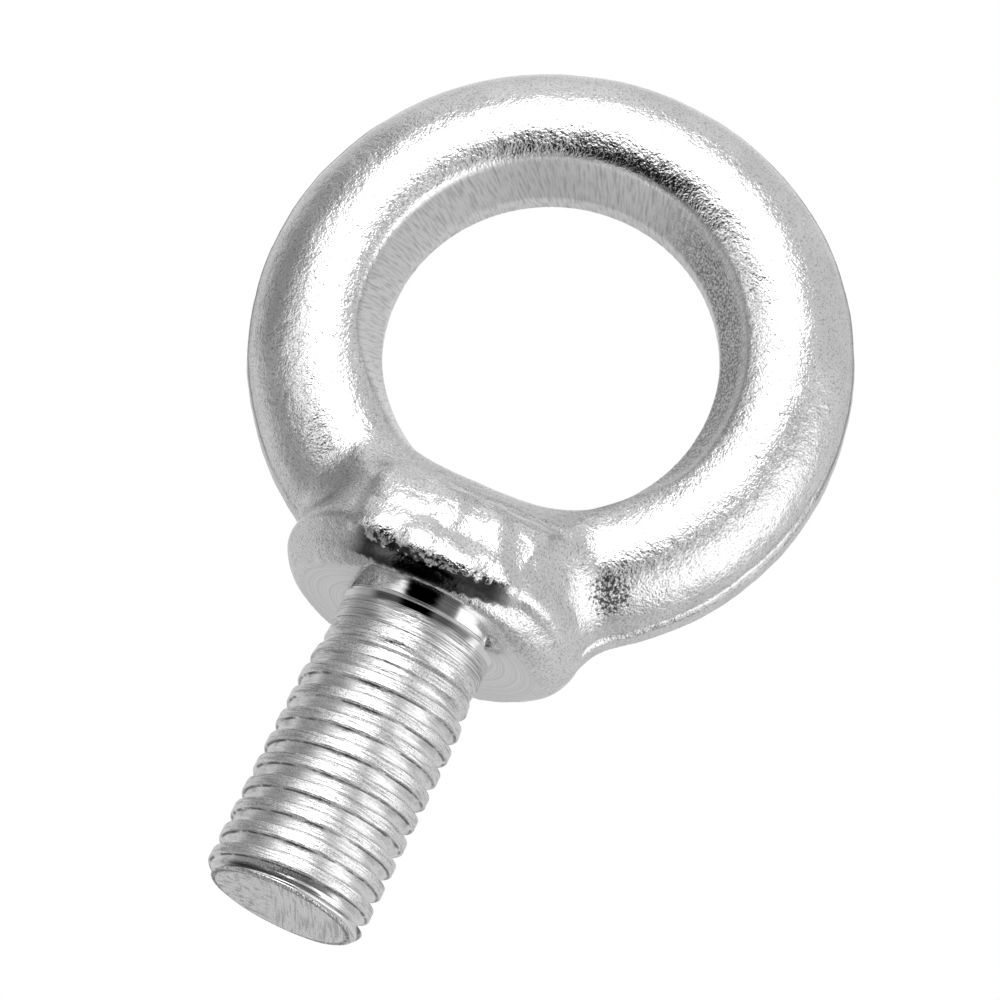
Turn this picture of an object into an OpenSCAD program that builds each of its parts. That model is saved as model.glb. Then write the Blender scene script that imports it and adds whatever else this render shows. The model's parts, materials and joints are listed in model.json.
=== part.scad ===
// Shoulder lifting eye bolt: one drop-forged steel piece with a ring eye, a
// collar with a machined seat, a turned neck and a rolled metric thread.
// Millimetres. The origin is the centre of the seat, +Z runs up the thread
// axis towards the eye, and the axis of the eye's bore is Y.

/* [Eye] */
// Outside diameter of the ring, without the trimmed flash
ring_d = 41.2; // [38:0.1:44]
// Diameter of the ring's round bar
bar_d = 9.8; // [8.5:0.1:10.5]
// Diameter of the bore at its trimmed land
bore_d = 23; // [20:0.1:24.5]
// Width of the trimmed land inside the bore
land_w = 1.8; // [1:0.1:3]
// Diameter at the mouth of the bore, where the drafted wall meets the bar
mouth_d = 26.4; // [25.6:0.1:28]
// Height of the eye's centre above the seat
eye_h = 21.5; // [20.9:0.1:25.3]
// Width of the flash land left around the outside of the ring
flash_w = 1.7; // [1:0.1:2.5]
// How far the flash land stands proud of the bar
flash_proud = 0.1; // [0:0.05:0.3]

/* [Collar] */
// Diameter of the collar
collar_d = 21.1; // [20:0.1:24]
// Diameter of the flat machined seat
seat_d = 17.8; // [16:0.1:19]
// Height at which the collar is widest
collar_h = 3; // [2.4:0.1:3.8]

/* [Hub] */
// Length of the hub's shoulder along X
hub_l = 16.4; // [14:0.2:18]
// Depth of the hub's shoulder along Y
hub_w = 14.6; // [12:0.2:16]
// Height of the hub's shoulder above the seat
hub_h = 6.9; // [6.3:0.1:7.3]
// Height of the hub's top, in front of the bore
hub_top_h = 8.9; // [8.3:0.1:9.3]

/* [Thread] */
// Nominal thread diameter
thread_d = 12; // [10:0.5:13]
// Thread pitch
pitch = 1.75; // [1.25:0.25:1.75]
// Length of the shank, from the seat to the end
shank_l = 21.4; // [17:0.1:30]
// Amount by which plated, rolled crests are under the nominal diameter
crest_allowance = 0.2; // [0:0.05:0.3]

/* [Neck] */
// Length of the turned neck between the seat and the thread
neck_l = 1.9; // [1.4:0.1:3]
// Diameter of the flared root where the neck meets the seat
root_d = 11.4; // [11.2:0.1:13]
// Height of the flared root
root_h = 0.4; // [0.2:0.1:0.8]

/* [Hidden] */
$fn = 96;

// Bar of the ring: its centre circle and the places where it is cut flat.
bar_r = bar_d / 2;
bar_centre_r = ring_d / 2 - bar_r;
bore_r = bore_d / 2;
mouth_r = mouth_d / 2;
mouth_y = sqrt(bar_r * bar_r - pow(bar_centre_r - mouth_r, 2));
mouth_angle = atan2(mouth_y, mouth_r - bar_centre_r);
flash_angle = asin(flash_w / 2 / bar_r);
flash_r = ring_d / 2 + flash_proud;
arc_steps = 20;

// Collar: its edge is a quarter of an ellipse from the seat to the widest place.
edge_reach = (collar_d - seat_d) / 2;
edge_steps = 8;

// Hub: each higher slice is the shoulder's oval made smaller.
hub_top_scale = 0.74;
hub_crown_scale = 0.5;
hub_crown_h = eye_h - bore_r - 0.2;
slice_h = 0.02;

// Thread, from the basic ISO profile: depths are shares of the pitch.
root_depth_share = 0.61343;
blank_depth_share = 0.32476;
crest_r = (thread_d - crest_allowance) / 2;
root_r = thread_d / 2 - root_depth_share * pitch;
blank_r = thread_d / 2 - blank_depth_share * pitch;
end_r = crest_r - 0.55;
end_chamfer_l = 0.9;
runout_l = 1.6 * pitch;
round_depth = 0.1;
turn_steps = 32;
// Rows that run past an end fold inwards over this many pitches, down to a
// small share of the radius. The caps' middle points stand off the seam.
end_fold = 1.5;
least_fold = 0.04;
cap_offset = 0.3;

// Rounded thread profile over one pitch: share of the pitch, and radius.
thread_profile = [
    [0.00, root_r],
    [0.09, root_r + round_depth],
    [0.41, crest_r - round_depth],
    [0.50, crest_r],
    [0.59, crest_r - round_depth],
    [0.91, root_r + round_depth],
];
rows_per_pitch = len(thread_profile);
thread_top_z = -neck_l;
thread_end_z = -shank_l;
thread_rows = ceil(((thread_top_z - thread_end_z) / pitch + 2 * end_fold + 1) * rows_per_pitch);

// Radius of the thread at a height: full in the middle, fading to the rolling
// blank at the neck, and cut back by the chamfer at the end.
function fade(z) = max(0, min(1, (thread_top_z - z) / runout_l));
function chamfer_r(z) = end_r + (crest_r - end_r) * (z - thread_end_z) / end_chamfer_l;
function thread_r(z, row) =
    min(blank_r + (thread_profile[row % rows_per_pitch][1] - blank_r) * fade(z), chamfer_r(z));

// One vertex of the thread's skin. The rows climb one pitch a turn, and a row
// that runs past either end folds inwards across that flat end.
function thread_z(row, step) =
    thread_end_z + pitch * (floor(row / rows_per_pitch) - end_fold
        + thread_profile[row % rows_per_pitch][0] + step / turn_steps - 1);
function fold_share(depth) = max(least_fold, 1 - depth / ((end_fold + 1) * pitch));
function skin_r(z, row) =
    z < thread_end_z ? thread_r(thread_end_z, row) * fold_share(thread_end_z - z)
    : z > thread_top_z ? blank_r * fold_share(z - thread_top_z)
    : thread_r(z, row);
function skin_point(row, step) =
    let (
        z = thread_z(row, step),
        a = 360 * step / turn_steps,
        r = skin_r(z, row)
    )
    [r * cos(a), r * sin(a), max(thread_end_z, min(thread_top_z, z))];

// Outline of the ring's bar in the plane of X and the bore axis.
function bar_point(a) = [bar_centre_r + bar_r * cos(a), bar_r * sin(a)];
ring_outline = concat(
    [[bore_r, -land_w / 2], [mouth_r, -mouth_y]],
    [for (i = [1 : arc_steps]) bar_point(-mouth_angle + (mouth_angle - flash_angle) * i / arc_steps)],
    [[flash_r, -flash_w / 2], [flash_r, flash_w / 2]],
    [for (i = [0 : arc_steps - 1]) bar_point(flash_angle + (mouth_angle - flash_angle) * i / arc_steps)],
    [[mouth_r, mouth_y], [bore_r, land_w / 2]]
);

// An oval slice of the hub at height z.
module oval(l, w, z) {
    translate([0, 0, z])
        linear_extrude(slice_h)
            scale([l / w, 1])
                circle(d = w, $fn = 40);
}

// Forged block between the collar and the ring.
module hub_block() {
    hull() {
        translate([0, 0, collar_h])
            cylinder(d = collar_d, h = slice_h, $fn = 64);
        oval(hub_l, hub_w, hub_h);
        oval(hub_l * hub_top_scale, hub_w * hub_top_scale, hub_top_h);
        oval(hub_l * hub_crown_scale, hub_w * hub_crown_scale, hub_crown_h - slice_h);
    }
}

module ring_solid() {
    translate([0, 0, eye_h])
        rotate([90, 0, 0])
            rotate_extrude($fn = 144)
                polygon(ring_outline);
}

module eye_ring() {
    color([0.78, 0.79, 0.8])
        difference() {
            ring_solid();
            hub_block();
            // Ends half-way up the hub's lowest slice, so that no faces coincide.
            translate([-ring_d, -ring_d, -ring_d])
                cube([2 * ring_d, 2 * ring_d, ring_d + collar_h + slice_h / 2]);
        }
}

module hub() {
    color([0.7, 0.71, 0.72])
        hub_block();
}

// Rim of the collar, round the neck's core.
module collar() {
    color([0.62, 0.63, 0.65])
        rotate_extrude()
            polygon(concat(
                [[root_d / 2, 0], [seat_d / 2, 0]],
                [for (i = [1 : edge_steps]) let (a = 90 * i / edge_steps)
                    [seat_d / 2 + edge_reach * sin(a), collar_h * (1 - cos(a))]],
                [[root_d / 2, collar_h]]
            ));
}

// Turned neck with its flared root, and its core up through the collar.
module neck() {
    color([0.86, 0.87, 0.88])
        rotate_extrude()
            polygon([
                [0, thread_top_z],
                [blank_r, thread_top_z],
                [blank_r, -root_h],
                [root_d / 2, 0],
                [root_d / 2, collar_h],
                [0, collar_h],
            ]);
}

module threaded_shank() {
    skin = [for (row = [0 : thread_rows]) for (step = [0 : turn_steps - 1]) skin_point(row, step)];
    bottom = len(skin);
    top = bottom + 1;
    // The next vertex round the helix: a full turn ends one pitch higher.
    function at(row, step) =
        step < turn_steps ? row * turn_steps + step : (row + rows_per_pitch) * turn_steps;
    full_rows = thread_rows - rows_per_pitch;
    color([0.82, 0.83, 0.84])
        polyhedron(
            points = concat(skin, [[0, -cap_offset, thread_end_z], [0, cap_offset, thread_top_z]]),
            faces = concat(
                [for (row = [0 : full_rows - 1]) for (step = [0 : turn_steps - 1])
                    [at(row, step), at(row + 1, step), at(row, step + 1)]],
                [for (row = [0 : full_rows - 1]) for (step = [0 : turn_steps - 1])
                    [at(row + 1, step), at(row + 1, step + 1), at(row, step + 1)]],
                [for (step = [0 : turn_steps - 1]) [bottom, at(0, step), at(0, step + 1)]],
                [for (row = [0 : rows_per_pitch - 1]) [bottom, at(row + 1, 0), at(row, 0)]],
                [for (step = [0 : turn_steps - 1])
                    [top, at(full_rows, step + 1), at(full_rows, step)]],
                [for (row = [full_rows : thread_rows - 1]) [top, at(row, 0), at(row + 1, 0)]]
            )
        );
}

eye_ring();
hub();
collar();
neck();
threaded_shank();
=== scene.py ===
"""Looks of a forged, zinc-plated lifting eye bolt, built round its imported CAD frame.

The shapes are worked out in millimetres in the part's own frame: the origin is
the centre of the collar's seat, +Z runs up the thread axis to the eye, the
bore's axis is Y, and the front is the side of -Y. make_piece turns them into metres.
"""
import json
import math

import bpy
import numpy as np
from mathutils import Matrix, Vector, noise


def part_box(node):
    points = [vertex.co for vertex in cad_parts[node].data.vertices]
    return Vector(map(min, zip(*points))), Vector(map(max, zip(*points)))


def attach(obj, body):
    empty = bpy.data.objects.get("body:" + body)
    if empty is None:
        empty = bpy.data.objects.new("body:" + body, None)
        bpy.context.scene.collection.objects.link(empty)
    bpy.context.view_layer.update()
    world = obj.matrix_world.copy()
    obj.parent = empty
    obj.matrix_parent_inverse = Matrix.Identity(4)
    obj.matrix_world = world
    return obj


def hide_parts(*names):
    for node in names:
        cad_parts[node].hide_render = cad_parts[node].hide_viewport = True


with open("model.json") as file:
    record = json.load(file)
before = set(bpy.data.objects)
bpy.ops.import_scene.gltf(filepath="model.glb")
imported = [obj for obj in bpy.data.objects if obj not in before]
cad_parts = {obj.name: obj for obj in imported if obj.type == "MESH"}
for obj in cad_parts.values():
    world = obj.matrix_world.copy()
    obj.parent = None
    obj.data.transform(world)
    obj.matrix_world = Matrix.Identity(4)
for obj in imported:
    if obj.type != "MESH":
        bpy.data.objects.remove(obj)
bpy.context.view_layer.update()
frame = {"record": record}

MM = 0.001


# ---------------------------------------------------------------- dimensions
def box_mm(node):
    """Lowest and highest corner of a CAD node, in millimetres."""
    low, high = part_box(node)
    return np.array(low) / MM, np.array(high) / MM


def mount(name):
    """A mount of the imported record, by its name."""
    return next(m for m in frame["record"]["mounts"] if m["name"] == name)


ring_high = box_mm("eye_ring")[1]
collar_high = box_mm("collar")[1]
neck_low, neck_high = box_mm("neck")
shank_low, shank_high = box_mm("threaded_shank")

# Sizes of the CAD that its boxes and mounts don't tell.
FLASH_PROUD = 0.1
FLASH_W = 1.7
MOUTH_R = 13.2
PITCH = 1.75
THREAD_ROOT_R = 4.95
BLANK_R = 5.43
END_R = 5.15
# A height where a groove of the thread crosses the -X side.
GROOVE_Z = -21.1

EYE_Z = mount("eye")["pos_m"][2] / MM
BORE_R = mount("eye")["dims"]["r_mm"]
LAND_W = mount("eye")["dims"]["length_mm"]
FLASH_R = ring_high[2] - EYE_Z
BAR_R = ring_high[1]
RING_R = FLASH_R - FLASH_PROUD
BAR_CENTRE_R = RING_R - BAR_R
COLLAR_R = collar_high[0]
ROOT_R = neck_high[0]
NECK_END = neck_low[2]
CREST_R = shank_high[0]
SHANK_END = shank_low[2]

# The worn thread: how far its crests and grooves lie under their full size, and
# how high over the end the notch round its front is.
CREST_WEAR = 0.07
ROOT_WEAR = 0.06
NOTCH_RISE = 0.58


# ------------------------------------------------------------ distance fields
def smooth_min(a, b, k):
    """The smaller of a and b, blended where they differ by less than k."""
    share = np.clip(0.5 + 0.5 * (b - a) / k, 0, 1)
    return b + (a - b) * share - k * share * (1 - share)


def smooth_max(a, b, k):
    """The larger of a and b, blended where they differ by less than k."""
    return -smooth_min(-a, -b, k)


def smooth_step(low, high, value):
    """0 at low and 1 at high, with a soft step between; low may be the larger."""
    share = np.clip((value - low) / (high - low), 0, 1)
    return share * share * (3 - 2 * share)


def ring_distance(x, y, z):
    """Round bar bent to a ring, with a drafted bore wall and a trimmed flash land
    that stands out more at the lower right."""
    rho = np.hypot(x, z - EYE_Z)
    down = (EYE_Z - z) / np.maximum(rho, 1)
    low_right = smooth_step(0.6, 1.0, 0.75 * x / np.maximum(rho, 1) + 0.66 * down)
    bar = np.hypot(rho - BAR_CENTRE_R, y) - BAR_R
    land = smooth_step(FLASH_W / 2 + 0.2, FLASH_W / 2 - 0.1, np.abs(y)) * (rho > BAR_CENTRE_R)
    bar = bar - (FLASH_R - RING_R + 0.2 * low_right) * land
    mouth_y = math.sqrt(BAR_R**2 - (BAR_CENTRE_R - MOUTH_R) ** 2)
    draft = (MOUTH_R - BORE_R) / (mouth_y - LAND_W / 2)
    draft = draft * (1 - 0.45 * smooth_step(0.3, 0.75, down))
    open_r = BORE_R + draft * np.maximum(np.abs(y) - LAND_W / 2, 0)
    wall = (open_r - rho) / np.hypot(1, draft)
    mouth_round = 0.22
    return smooth_max(bar, wall, mouth_round)


def collar_distance(x, y, z):
    """Disc a little off the axis, whose forged lower edge is a big round, cut off
    by the machined seat. The round is largest at the left, then at the right."""
    centre_x, centre_y = -0.02, 0.65
    rim_r, rim_top = COLLAR_R + 0.06, 3.4
    left, right = smooth_step(3, 9, -x), smooth_step(3, 9, x)
    round_r = 1.95 + 1.25 * left + 0.35 * right
    round_z = 1.7 + 1.2 * left + 0.58 * right
    out = np.hypot(x - centre_x, y - centre_y) - rim_r + round_r
    down = round_z - z
    inner = np.minimum(np.maximum(out, down), 0)
    edge = inner + np.hypot(np.maximum(out, 0), np.maximum(down, 0)) - round_r
    return smooth_max(edge, z - rim_top, 1.2)


def hub_distance(x, y, z):
    """Forged block that carries the ring: steep in front, with sloping shoulders
    and a fine crease across them."""
    power, mean_r, bottom_z = 2.8, 9.0, 2.4
    crown_z, crease_y = 10.1, 5.9
    half_l = 9.5 - 0.25 * (z - 4)
    half_w = 10.2 - 0.26 * (z - 1.7)
    oval = (np.abs(x / half_l) ** power + np.abs(y / half_w) ** power) ** (1 / power)
    side = (oval - 1) * mean_r
    shoulder_z = 12.5 - 0.64 * np.abs(y)
    top_z = smooth_min(shoulder_z, crown_z, 0.5) - 0.008 * x * x + 0.02 * x
    crease = 0.2 * np.exp(-(((np.abs(y) - crease_y) / 0.25) ** 2)) * smooth_step(-4, -2, x)
    return smooth_max(smooth_max(side, z - top_z + crease, 1.0), bottom_z - z, 0.8)


def hollow_height(x, y):
    """Height of the hollow under the collar, where the forging falls short of
    the seat in front of the neck."""
    depth, front_r = 1.2, 5.9
    left = -4.7 - 0.2 * (y + 3.8)
    right = 5.45 - 0.32 * (y + 3.15)
    across = smooth_step(left - 0.1, left + 0.3, x) * smooth_step(right + 1.2, right - 1.6, x)
    slope = np.clip(depth - 0.22 * (np.hypot(x, y) - front_r), 0, depth)
    return slope * across * smooth_step(-2.6, -3.4, y)


def forging_distance(x, y, z):
    """The whole forging: ring, hub and collar in soft blends, cut at the seat."""
    beside = np.maximum(smooth_step(-4, 8, x), 0.8 * smooth_step(1, 4, np.abs(y)))
    body = smooth_min(hub_distance(x, y, z), collar_distance(x, y, z), 1.2)
    body = smooth_min(body, ring_distance(x, y, z), 0.8 + 1.6 * beside)
    return np.maximum(body, hollow_height(x, y) - z)


# ------------------------------------------------------------------- meshing
CORNERS = np.array([(i, j, k) for i in (0, 1) for j in (0, 1) for k in (0, 1)])
EDGES = [(a, b) for a in range(8) for b in range(a + 1, 8)
         if np.abs(CORNERS[a] - CORNERS[b]).sum() == 1]


def sample_field(distance, low, counts, voxel):
    """The distance at every point of a grid, slab by slab to spare memory."""
    field = np.empty(counts, np.float32)
    ys = (low[1] + voxel * np.arange(counts[1]))[None, :, None]
    zs = (low[2] + voxel * np.arange(counts[2]))[None, None, :]
    slab = 16
    for start in range(0, counts[0], slab):
        steps = np.arange(start, min(start + slab, counts[0]))
        xs = (low[0] + voxel * steps)[:, None, None]
        field[steps] = distance(xs, ys, zs)
    return field


def cell_points(field, cells):
    """The middle of the surface's crossings with each cell's edges, in cells."""
    values = np.stack([field[tuple((cells + c).T)] for c in CORNERS], 1)
    total, crossings = np.zeros((len(cells), 3)), np.zeros(len(cells))
    for a, b in EDGES:
        crossed = (values[:, a] < 0) != (values[:, b] < 0)
        gap = np.where(crossed, values[:, a] - values[:, b], 1)
        share = (values[:, a] / gap)[:, None]
        point = CORNERS[a] + share * (CORNERS[b] - CORNERS[a])
        total += np.where(crossed[:, None], point, 0)
        crossings += crossed
    return cells + total / crossings[:, None]


def surface_net(distance, low, high, voxel):
    """Vertices and quads of the surface where distance is 0, one vertex a cell."""
    low = np.array(low, float)
    counts = np.ceil((np.array(high) - low) / voxel).astype(int) + 1
    field = sample_field(distance, low, counts, voxel)
    inside = field < 0
    corner_views = [inside[i:counts[0] - 1 + i, j:counts[1] - 1 + j, k:counts[2] - 1 + k]
                    for i, j, k in CORNERS]
    filled = sum(view.astype(np.int8) for view in corner_views)
    cells = np.argwhere((filled > 0) & (filled < len(CORNERS)))
    number = np.full(counts - 1, -1, np.int64)
    number[tuple(cells.T)] = np.arange(len(cells))

    quads = []
    step = np.eye(3, dtype=int)
    for axis in range(3):
        one, two = [a for a in range(3) if a != axis]
        first = np.moveaxis(inside, axis, 0)
        changes = np.argwhere(np.moveaxis(first[1:] != first[:-1], 0, axis))
        changes = changes[(changes[:, one] > 0) & (changes[:, two] > 0)]
        ring = [changes - step[one] - step[two], changes - step[two],
                changes, changes - step[one]]
        quad = np.stack([number[tuple(c.T)] for c in ring], 1)
        outward = inside[tuple(changes.T)] == (axis != 1)
        quad[~outward] = quad[~outward][:, ::-1]
        quads.append(quad)
    return low + voxel * cell_points(field, cells), np.concatenate(quads)


def gradient(distance, points, reach=0.02):
    """Slope of the distance at the points, over a short reach to each side."""
    steps = reach * np.eye(3)
    return np.stack([(distance(*(points + s).T) - distance(*(points - s).T)) / (2 * reach)
                     for s in steps], 1)


def settle(distance, points, rounds=3):
    """Moves the points onto the surface, and returns them with their normals."""
    least_slope = 0.2
    for _ in range(rounds):
        slope = gradient(distance, points)
        size = np.maximum((slope**2).sum(1), least_slope)
        points = points - slope * (distance(*points.T) / size)[:, None]
    slope = gradient(distance, points)
    return points, slope / np.linalg.norm(slope, axis=1)[:, None]


def fractal(points, size, octaves=3, shift=0.0):
    """Fractal noise at the points, about -1 to 1, with bumps of that size in mm."""
    offset = Vector((shift, 1.7 * shift, -shift))
    return np.array([noise.fractal(Vector(p) + offset, 1.0, 2.0, octaves)
                     for p in points / size])


def make_piece(name, points, faces, masks=None):
    """A smooth-shaded object from points in millimetres."""
    mesh = bpy.data.meshes.new(name)
    mesh.from_pydata((points * MM).tolist(), [], [list(map(int, f)) for f in faces])
    for mask, values in (masks or {}).items():
        layer = mesh.attributes.new(mask, "FLOAT", "POINT")
        layer.data.foreach_set("value", np.asarray(values, np.float32))
    mesh.polygons.foreach_set("use_smooth", [True] * len(mesh.polygons))
    mesh.validate()
    piece = bpy.data.objects.new(name, mesh)
    bpy.context.scene.collection.objects.link(piece)
    return piece


# ------------------------------------------------------------- forged body
def lump_height(points):
    """Soft worn lumps on the front of the hub, as they come out of the die: wide
    upright swells that lean a little, under finer ones. They mean nothing."""
    x, y, z = points.T
    slanted = np.stack([(x + 0.3 * z) / 2.2, 0 * x, (z - 0.25 * x) / 5.0], 1)
    raised = smooth_step(-0.8, 0.5, fractal(slanted, 1.0, 1, 31.0))
    raised = raised + 0.2 * fractal(points, 1.1, 2, 3.0)
    field = smooth_step(-6.4, -5.2, x) * smooth_step(7, 5.8, x) * smooth_step(-4.5, -6, y)
    return raised * field * smooth_step(1.5, 2.2, z) * smooth_step(8.6, 7.6, z)


def forged_body():
    """Ring eye, hub and collar as one skin, as they are forged."""
    margin, voxel = 0.6, 0.25
    low = (-FLASH_R - margin, -COLLAR_R - margin, -margin)
    high = (FLASH_R + margin, COLLAR_R + margin, EYE_Z + FLASH_R + margin)
    points, quads = surface_net(forging_distance, low, high, voxel)
    points, normals = settle(forging_distance, points)
    x, y, z = points.T
    rho = np.hypot(x, z - EYE_Z)
    outward = (normals[:, 0] * x + normals[:, 2] * (z - EYE_Z)) / np.maximum(rho, 1)
    ring_share = smooth_step(9.8, 11.8, z + 0.25 * np.abs(x))
    wall = smooth_step(-0.55, -0.8, outward) * smooth_step(MOUTH_R + 0.3, MOUTH_R, rho)
    wall = wall * ring_share
    seat = smooth_step(0.06, 0.02, z)
    rough = (1 - seat) * (1 - 0.8 * wall)
    swell = 0.06 * fractal(points, 5.0, 3) + 0.02 * fractal(points, 0.9, 2, 7.0)
    swell = swell + 0.5 * lump_height(points)
    points = points + normals * (rough * swell)[:, None]
    return make_piece("forged_eye_body", points, quads, {"wall": wall, "seat": seat})


# ------------------------------------------------------------- turned shank
def revolve(name, rows, steps, shape):
    """A closed piece of rows round Z; shape(row, angle) gives radius and height."""
    angle = 2 * math.pi * np.arange(steps) / steps
    angles, sheet = np.meshgrid(angle, rows)
    radius, height = shape(sheet, angles)
    ring_points = np.stack([radius * np.cos(angles), radius * np.sin(angles), height], -1)
    count = len(rows)
    top, bottom = count * steps, count * steps + 1
    poles = np.array([[0, 0, height[0].mean()], [0, 0, height[-1].mean()]])
    points = np.concatenate([ring_points.reshape(-1, 3), poles])
    i, j = np.meshgrid(np.arange(count - 1), np.arange(steps), indexing="ij")
    after = (j + 1) % steps
    faces = np.stack([i * steps + j, (i + 1) * steps + j,
                      (i + 1) * steps + after, i * steps + after], -1).reshape(-1, 4).tolist()
    last = (count - 1) * steps
    for j in range(steps):
        after = (j + 1) % steps
        faces.append([top, j, after])
        faces.append([bottom, last + after, last + j])
    return make_piece(name, points, faces)


def turned_neck():
    """Turned neck: a cone up to a crisp double lip, and a polished band above it
    that shows in the hollow under the collar."""
    profile = [(1.45, ROOT_R + 0.4), (0.32, ROOT_R + 0.02), (0.27, ROOT_R + 0.07),
               (0.21, ROOT_R + 0.01), (0.15, ROOT_R + 0.05), (0.09, ROOT_R - 0.04),
               (-0.35, BLANK_R + 0.02), (-0.5, BLANK_R), (NECK_END, BLANK_R)]
    profile_z, profile_r = np.array(profile).T
    length = profile_z[0] - NECK_END
    least_share = 0.05

    def shape(s, angle):
        z = np.clip(profile_z[0] - s, NECK_END, profile_z[0])
        radius = np.interp(z, profile_z[::-1], profile_r[::-1])
        groove = 0.004 * np.sin(z * 31) * np.sin(z * 47 + 1)
        inward = np.minimum(1 + s, 1 + length - s)
        return (radius + groove) * np.clip(inward, least_share, 1), z

    cap = np.array([0.5, 0.9])
    rows = np.concatenate([-cap[::-1], np.linspace(0, length, 130), length + cap])
    return revolve("turned_neck", rows, 256, shape)


def thread_radius(z, angle):
    """Worn rolled thread: a helical profile with flat crests, run out at the neck.
    The end has an uneven chamfer, and a notch runs round its front."""
    phase = (z - GROOVE_Z) / PITCH - (angle - math.pi) / (2 * math.pi)
    from_groove = np.abs(phase - np.round(phase))
    flank = np.clip((from_groove - 0.07) / 0.24, 0, 1)
    flank = smooth_step(-0.12, 1.06, flank)
    depth = CREST_R - CREST_WEAR - THREAD_ROOT_R
    full = smooth_step(0.0, 2.5, (NECK_END - z) / PITCH)
    blank = BLANK_R - THREAD_ROOT_R
    radius = THREAD_ROOT_R - ROOT_WEAR + blank * (1 - full) + full * depth * flank
    uneven = 0.05 * np.sin(3 * angle + 1) + 0.04 * np.sin(8 * angle)
    rise = z - SHANK_END
    chamfer = END_R + uneven + 0.75 * rise / 0.9
    front = smooth_step(0.0, 0.9, -np.sin(angle - 0.15))
    notch = 0.4 * front * np.exp(-(((rise - NOTCH_RISE) / 0.16) ** 2))
    return smooth_min(radius, chamfer, 0.2) - notch


def threaded_shank():
    """Rolled M12 x 1.75 right-hand thread, with an end face that is a little
    dished."""
    length = NECK_END - SHANK_END
    thread_rows, face_rows = 420, 40
    least_share, dish = 0.02, 0.12

    def shape(s, angle):
        z = np.clip(NECK_END - s, SHANK_END, NECK_END)
        radius = thread_radius(z, angle)
        inward = np.where(s > length, 1 - (s - length), 1)
        inward = np.where(s < 0, 1 + s, inward)
        radius = radius * np.clip(inward, least_share, 1)
        sag = dish * smooth_step(4.8, 2.0, radius)
        return radius, z + np.where(s > length, sag, 0)

    rows = np.concatenate([[-0.95, -0.5], np.linspace(0, length, thread_rows),
                           length + np.linspace(0.02, 0.98, face_rows)])
    return revolve("threaded_shank_worn", rows, 360, shape)


# -------------------------------------------------------------- shader nodes
def add_node(tree, kind, inputs=None, **settings):
    """A shader node with its settings, constants and incoming links."""
    made = tree.nodes.new("ShaderNode" + kind)
    for key, value in settings.items():
        setattr(made, key, value)
    for key, value in (inputs or {}).items():
        if isinstance(value, bpy.types.NodeSocket):
            tree.links.new(value, made.inputs[key])
        else:
            made.inputs[key].default_value = value
    return made


def math_node(tree, operation, a, b=0.0):
    return add_node(tree, "Math", {0: a, 1: b}, operation=operation).outputs[0]


def product(tree, first, *others):
    """All the values multiplied."""
    for other in others:
        first = math_node(tree, "MULTIPLY", first, other)
    return first


def added(tree, first, *others):
    """All the values added."""
    for other in others:
        first = math_node(tree, "ADD", first, other)
    return first


def remap(tree, value, low, high, to_low=0.0, to_high=1.0):
    """The value moved from the range low to high to the other one, and kept in it."""
    return add_node(tree, "MapRange", {"Value": value, "From Min": low, "From Max": high,
                                       "To Min": to_low, "To Max": to_high}).outputs[0]


def between(tree, value, low, high):
    """0 at low and 1 at high, in mm, with a soft step between."""
    return add_node(tree, "MapRange", {"Value": value, "From Min": low * MM, "From Max": high * MM},
                    interpolation_type="SMOOTHSTEP").outputs[0]


def near(tree, value, middle, gone, full):
    """1 up to full mm from the middle, and 0 from gone mm on."""
    off = math_node(tree, "ABSOLUTE", math_node(tree, "SUBTRACT", value, middle * MM))
    return between(tree, off, gone, full)


def blend(tree, share, a, b):
    """a where share is 0 and b where it is 1."""
    return add_node(tree, "Mix", {0: share, 2: a, 3: b}).outputs[0]


def split(tree, coords):
    """The three object coordinates, in metres."""
    return add_node(tree, "SeparateXYZ", {0: coords}).outputs[:]


def combine(tree, x, y, z):
    return add_node(tree, "CombineXYZ", {0: x, 1: y, 2: z}).outputs[0]


def radius_from(tree, a, b):
    """Distance from the axis across a and b."""
    squares = added(tree, product(tree, a, a), product(tree, b, b))
    return math_node(tree, "SQRT", squares)


def grain(tree, coords, size_mm, detail=2.0, stretch=None):
    """Noise of that size, from 0 to 1."""
    if stretch is not None:
        coords = add_node(tree, "Mapping", {"Vector": coords, "Scale": stretch}).outputs[0]
    made = add_node(tree, "TexNoise", {"Vector": coords, "Scale": 1 / (size_mm * MM),
                                       "Detail": detail, "Roughness": 0.55})
    return made.outputs["Fac"]


def new_metal(name):
    """A metal with its tree, principled shader and object coordinates."""
    material = bpy.data.materials.new(name)
    material.use_nodes = True
    tree = material.node_tree
    shader = tree.nodes["Principled BSDF"]
    shader.inputs["Metallic"].default_value = 1.0
    coords = add_node(tree, "TexCoord").outputs["Object"]
    return material, tree, shader, coords


def dress(tree, shader, shade, roughness, height, relief_mm):
    """Links a metal's grey, its roughness, and its relief of that depth."""
    bump = add_node(tree, "Bump", {"Height": height, "Strength": 1.0,
                                   "Distance": relief_mm * MM})
    tree.links.new(bump.outputs[0], shader.inputs["Normal"])
    tree.links.new(combine(tree, shade, shade, shade), shader.inputs["Base Color"])
    tree.links.new(roughness, shader.inputs["Roughness"])


# --------------------------------------------------------------- forged metal
def bore_scratches(tree, x, y, up):
    """Short scratches across the bore's wall, leaning a little."""
    around = product(tree, math_node(tree, "ARCTAN2", up, x), BORE_R * MM)
    lean = added(tree, around, product(tree, y, 0.2))
    along = product(tree, y, 0.12)
    return grain(tree, combine(tree, lean, along, 0.0), 0.16, 3.0)


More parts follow.
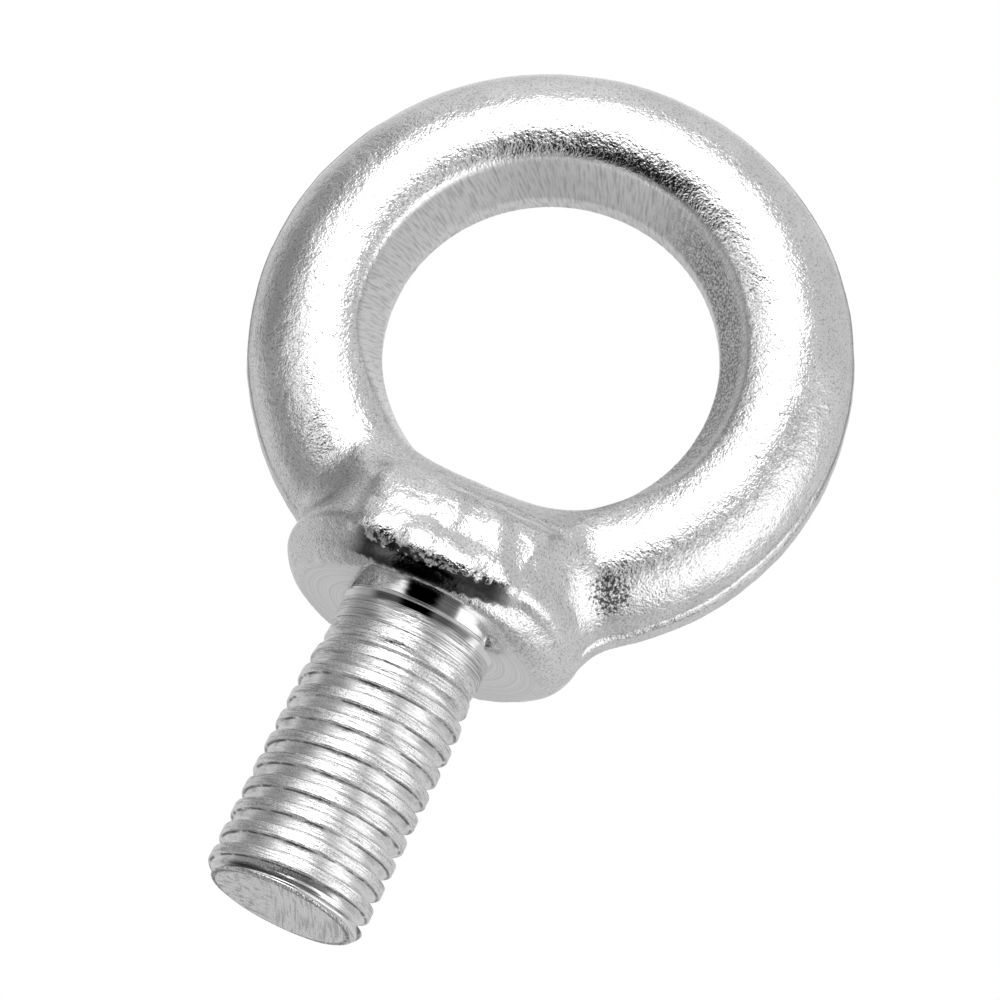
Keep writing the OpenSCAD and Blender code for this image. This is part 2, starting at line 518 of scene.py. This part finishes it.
def painted_recess_shade(tree, x, y, z, rag):
    """1 along the painted shade over the recess above the hollow in front, 0
    elsewhere: its lower edge is nearly smooth and its upper edge is ragged."""
    bow = added(tree, product(tree, x, 0.05), product(tree, x, x, 0.02 / MM))
    off = math_node(tree, "SUBTRACT", z, bow)
    ragged = product(tree, math_node(tree, "SUBTRACT", rag, 0.5), 2.6 * MM)
    over = between(tree, added(tree, off, product(tree, ragged, 0.2)), 0.38, 0.6)
    under = between(tree, added(tree, off, ragged), 2.0, 1.7)
    outside = between(tree, radius_from(tree, x, y), 8.3, 8.9)
    in_front = between(tree, y, -4, -6)
    return product(tree, over, under, outside, in_front, near(tree, x, 0.2, 6.2, 4.4))


def crease_shade_spot(tree, coords):
    """1 in the speckled spot of painted shade in the crease where the hub runs into the ring, 0
    elsewhere.
    """
    middle = Vector((11.2, -3.9, 6.7)) * MM
    away = add_node(tree, "VectorMath", {0: coords, 1: middle},
                    operation="DISTANCE").outputs["Value"]
    speckled = added(tree, product(tree, between(tree, away, 2.3, 0.4), 0.2),
                     grain(tree, coords, 0.22, 4.0))
    return product(tree, remap(tree, speckled, 0.62, 0.72), between(tree, away, 2.3, 1.6))


def flash_line(tree, across, z, rho):
    """1 along the two edges of the trimmed flash round the ring, 0 elsewhere."""
    edge = near(tree, across, FLASH_W / 2, 0.16, 0.04)
    return product(tree, edge, between(tree, rho, RING_R - 0.5, RING_R - 0.3),
                   between(tree, z, 5, 7))


def forged_zinc():
    """Bright zinc on a forged skin: hard fine grain, a scratched bore wall that is
    dull and dotted at the right, turned marks on the seat, dark edges along the
    trimmed flash, painted shade over the recess in front of the collar and a
    speckled spot of painted shade where the hub runs into the ring."""
    material, tree, shader, coords = new_metal("forged_zinc")
    x, y, z = split(tree, coords)
    across = math_node(tree, "ABSOLUTE", y)
    up = math_node(tree, "SUBTRACT", z, EYE_Z * MM)
    wall = add_node(tree, "Attribute", attribute_name="wall").outputs["Fac"]
    seat = add_node(tree, "Attribute", attribute_name="seat").outputs["Fac"]

    fine = grain(tree, coords, 0.16, 2.0)
    peel = grain(tree, coords, 0.55, 2.0)
    patch = grain(tree, coords, 3.5, 3.0)
    skin = added(tree, product(tree, fine, 0.6), peel)
    scratches = bore_scratches(tree, x, y, up)
    turned = grain(tree, combine(tree, radius_from(tree, x, y), 0.0, 0.0), 0.22, 3.0)
    recess = painted_recess_shade(tree, x, y, z, peel)
    dull = product(tree, between(tree, x, 1, 8), between(tree, across, 0.5, 1.2),
                   between(tree, across, 4.6, 3.0))

    scored = added(tree, scratches, product(tree, fine, 0.25))
    height = blend(tree, wall, skin, blend(tree, dull, scored, product(tree, skin, 1.3)))
    height = product(tree, height, blend(tree, recess, 1.0, 0.35))
    height = blend(tree, seat, height, turned)

    shade = product(tree, remap(tree, patch, 0.3, 0.7, 0.8, 0.96),
                    remap(tree, fine, 0.34, 0.47, 0.64, 1.0))
    dots = product(tree, dull, remap(tree, fine, 0.42, 0.58, 0.85, 0.15))
    wall_shade = product(tree, remap(tree, scratches, 0.3, 0.55, 0.62, 0.97),
                         blend(tree, dots, 1.0, 0.15))
    shade = blend(tree, wall, shade, wall_shade)
    # Painted shade: the recess over the hollow in front is made near black.
    shade = blend(tree, recess, shade, blend(tree, peel, 0.02, 0.16))
    # Painted shade: a near-black speckled spot in the crease where the hub runs into the ring.
    shade = blend(tree, crease_shade_spot(tree, coords), shade, 0.12)
    shade = blend(tree, seat, shade, remap(tree, turned, 0.35, 0.6, 0.8, 1.0))
    line = flash_line(tree, across, z, radius_from(tree, x, up))
    shade = blend(tree, product(tree, line, 0.6), shade, 0.25)

    rough = remap(tree, peel, 0.3, 0.7, 0.1, 0.2)
    rough = blend(tree, wall, rough, 0.34)
    rough = blend(tree, seat, rough, 0.36)
    dress(tree, shader, shade, rough, height, relief_mm=0.065)
    return material


# -------------------------------------------------------------- turned metal
def turned_zinc():
    """Bright zinc on a turned surface, with fine lines round the axis, and painted
    shade in front: a patch of painted dark reflection above the lip and a
    streak of painted shade under it."""
    material, tree, shader, coords = new_metal("turned_zinc")
    x, y, z = split(tree, coords)
    lines = grain(tree, coords, 0.1, 3.0, (0.03, 0.03, 1.0))
    polished = between(tree, z, -0.55, -0.35)
    shade = blend(tree, polished, remap(tree, lines, 0.35, 0.55, 0.45, 0.98), 0.9)
    front = between(tree, y, -3.2, -4.2)
    # Painted reflection: a dark patch above the lip, where the dark surroundings would be mirrored.
    patch = product(tree, between(tree, z, 0.26, 0.4), between(tree, x, -1.2, -0.8),
                    between(tree, x, 3.0, 2.5))
    # Painted shade: a dark streak under the lip.
    streak = product(tree, between(tree, z, -0.65, -0.25), between(tree, z, 0.1, 0.06),
                     between(tree, x, -3.6, -2.6))
    painted_reflection_and_shade = product(tree, math_node(tree, "MAXIMUM", patch, streak), front)
    shade = blend(tree, painted_reflection_and_shade, shade, blend(tree, lines, 0.0, 0.35))
    relief = product(tree, lines, blend(tree, polished, 1.0, 0.15))
    dress(tree, shader, shade, blend(tree, polished, 0.16, 0.07), relief, relief_mm=0.04)
    return material


# --------------------------------------------------------------- thread metal
def end_shade(tree, coords, x, radius, saw, pits):
    """Grey of the end's face: mottled at the left, sawn at the right, dark rim."""
    sawn = remap(tree, saw, 0.36, 0.52, 0.6, 0.98)
    mottled = remap(tree, grain(tree, coords, 0.5, 4.0), 0.36, 0.5, 0.5, 0.96)
    marks = blend(tree, between(tree, x, -2, 0.5), mottled, sawn)
    rim = product(tree, near(tree, radius, END_R - 0.2, 0.2, 0.08),
                  remap(tree, pits, 0.35, 0.5))
    return blend(tree, rim, marks, 0.2)


def thread_zinc():
    """Bright zinc on a worn rolled thread: streaked along the turns, pocked on the
    crests and the run-out, with broken lines of painted shadow along the crests'
    edges, painted shade in the notch at the end, and an end face with parallel
    saw marks."""
    material, tree, shader, coords = new_metal("thread_zinc")
    x, y, z = split(tree, coords)
    radius = radius_from(tree, x, y)
    streak = grain(tree, coords, 0.12, 3.0, (0.06, 0.06, 1.0))
    fine = grain(tree, coords, 0.13, 2.0)
    pits = grain(tree, coords, 0.24, 3.0)
    saw = grain(tree, coords, 0.16, 1.0, (1.0, 0.04, 1.0))
    crest = between(tree, radius, CREST_R - 0.35, CREST_R - 0.1)
    worn = math_node(tree, "MAXIMUM", crest, between(tree, z, -6, -4))
    end = between(tree, z, SHANK_END + 0.2, SHANK_END + 0.14)

    rough_skin = added(tree, product(tree, streak, 1.3), product(tree, fine, 0.25))
    height = product(tree, rough_skin, blend(tree, worn, 0.25, 0.55))
    height = blend(tree, end, height, added(tree, product(tree, saw, 1.8), pits))

    streaked = remap(tree, streak, 0.36, 0.5, 0.6, 1.0)
    pocked = remap(tree, fine, 0.36, 0.5, 0.68, 1.0)
    shade = blend(tree, worn, math_node(tree, "MAXIMUM", streaked, 0.85),
                  product(tree, streaked, pocked))
    shade = blend(tree, end, shade, end_shade(tree, coords, x, radius, saw, pits))
    # Painted shadow: broken dark lines along the crests' edges, where the grooves' shadow falls.
    edge = product(tree, near(tree, radius, CREST_R - 0.34, 0.13, 0.05),
                   between(tree, z, -4.4, -5.4),
                   remap(tree, grain(tree, coords, 1.1, 2.0), 0.36, 0.54))
    shade = blend(tree, edge, shade, 0.22)
    # Painted shade: the notch round the front of the end is made dark.
    notch = product(tree, near(tree, z, SHANK_END + NOTCH_RISE, 0.2, 0.05),
                    between(tree, y, -1.5, -3.6))
    shade = blend(tree, notch, shade, 0.2)
    dress(tree, shader, shade, remap(tree, pits, 0.3, 0.7, 0.16, 0.32), height, relief_mm=0.09)
    return material


# --------------------------------------------------------------------- studio
def camera():
    """Long-lens view from below and a little to the right, rolled clockwise."""
    azimuth, elevation, roll = math.radians(-8.2), math.radians(17.45), math.radians(26.29)
    aim = Vector((1.5, -2.6, 10.05)) * MM
    distance = 0.6
    ahead = Vector((math.sin(azimuth) * math.cos(elevation),
                    math.cos(azimuth) * math.cos(elevation), math.sin(elevation)))
    level = ahead.cross(Vector((0, 0, 1))).normalized()
    above = level.cross(ahead)
    right = level * math.cos(roll) + above * math.sin(roll)
    up = right.cross(ahead)
    data = bpy.data.cameras.new("camera")
    data.sensor_width = 36
    data.lens = 320.3
    made = bpy.data.objects.new("camera", data)
    made.matrix_world = Matrix((
        (right.x, up.x, -ahead.x, 0), (right.y, up.y, -ahead.y, 0),
        (right.z, up.z, -ahead.z, 0), (0, 0, 0, 1)))
    made.location = aim - ahead * distance
    bpy.context.scene.collection.objects.link(made)
    bpy.context.scene.camera = made


def towards(azimuth, elevation):
    """Direction at an azimuth from +Y towards +X and an elevation, in degrees."""
    azimuth, elevation = math.radians(azimuth), math.radians(elevation)
    return Vector((math.sin(azimuth) * math.cos(elevation),
                   math.cos(azimuth) * math.cos(elevation), math.sin(elevation)))


def soft_panel(tree, light, direction, level, full, gone):
    """Mixes a round panel of that level into the light, full out to one angle
    from its centre and gone at the other."""
    coords = tree.nodes["Texture Coordinate"].outputs["Generated"]
    facing = add_node(tree, "VectorMath", {0: coords, 1: towards(*direction)},
                      operation="DOT_PRODUCT").outputs["Value"]
    share = add_node(tree, "MapRange", {
        "Value": facing, "From Min": math.cos(math.radians(gone)),
        "From Max": math.cos(math.radians(full))}, interpolation_type="SMOOTHSTEP").outputs[0]
    return blend(tree, share, light, level)


# Level of the light where there is no panel.
PLAIN_LIGHT = 0.6
# Each panel's direction, level, and the angles where it is full and gone. The
# last one is the key light, and the one before it the dark place of the camera.
PANELS = [
    ((0, -90), 0.34, 25, 65),
    ((-100, -50), 0.31, 20, 42),
    ((-100, 62), 0.74, 10, 30),
    ((-95, 10), 0.26, 14, 42),
    ((-10, 28), 0.85, 8, 25),
    ((108, -9), 1.4, 20, 36),
    ((-145, -5), 1.1, 8, 21),
    ((143, 16), 0.4, 5, 13),
    ((-168, -42), 0.03, 8, 30),
    ((-173, -24), 0.0, 17, 29),
    ((-172, 30), 3.2, 14, 30),
]


def soft_light():
    """Soft studio light all round the part, in front of a white backdrop."""
    world = bpy.data.worlds.new("studio")
    bpy.context.scene.world = world
    world.use_nodes = True
    tree = world.node_tree
    add_node(tree, "TexCoord")
    light = PLAIN_LIGHT
    for panel in PANELS:
        light = soft_panel(tree, light, *panel)
    shine = tree.nodes["Background"]
    tree.links.new(light, shine.inputs["Strength"])
    shine.inputs["Color"].default_value = (1, 1, 1, 1)
    backdrop = add_node(tree, "Background", {"Color": (1, 1, 1, 1), "Strength": 1.0})
    seen = add_node(tree, "LightPath").outputs["Is Camera Ray"]
    both = add_node(tree, "MixShader", {0: seen, 1: shine.outputs[0], 2: backdrop.outputs[0]})
    tree.links.new(both.outputs[0], tree.nodes["World Output"].inputs["Surface"])


def pale_floor():
    """Plain floor far under the part, which isn't mirrored in it."""
    size, depth = 60, 0.45
    bpy.ops.mesh.primitive_plane_add(size=size, location=(0, 0, -depth))
    floor = bpy.context.object
    floor.name = "floor"
    floor.visible_glossy = False
    pale = bpy.data.materials.new("pale_floor")
    pale.use_nodes = True
    shader = pale.node_tree.nodes["Principled BSDF"]
    shader.inputs["Base Color"].default_value = (0.8, 0.8, 0.8, 1)
    shader.inputs["Roughness"].default_value = 0.8
    floor.data.materials.append(pale)


# ------------------------------------------------------------------- assembly
def finish_piece(piece, material, slot, *nodes):
    """Gives a piece its metal and body, and hides the CAD nodes it replaces."""
    piece.data.materials.append(material)
    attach(piece, "root")
    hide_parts(*nodes)


bpy.context.scene.view_settings.view_transform = "Standard"
camera()
soft_light()
pale_floor()
finish_piece(forged_body(), forged_zinc(), "forged_zinc", "eye_ring", "hub", "collar")
finish_piece(turned_neck(), turned_zinc(), "turned_zinc", "neck")
finish_piece(threaded_shank(), thread_zinc(), "thread_zinc", "threaded_shank")
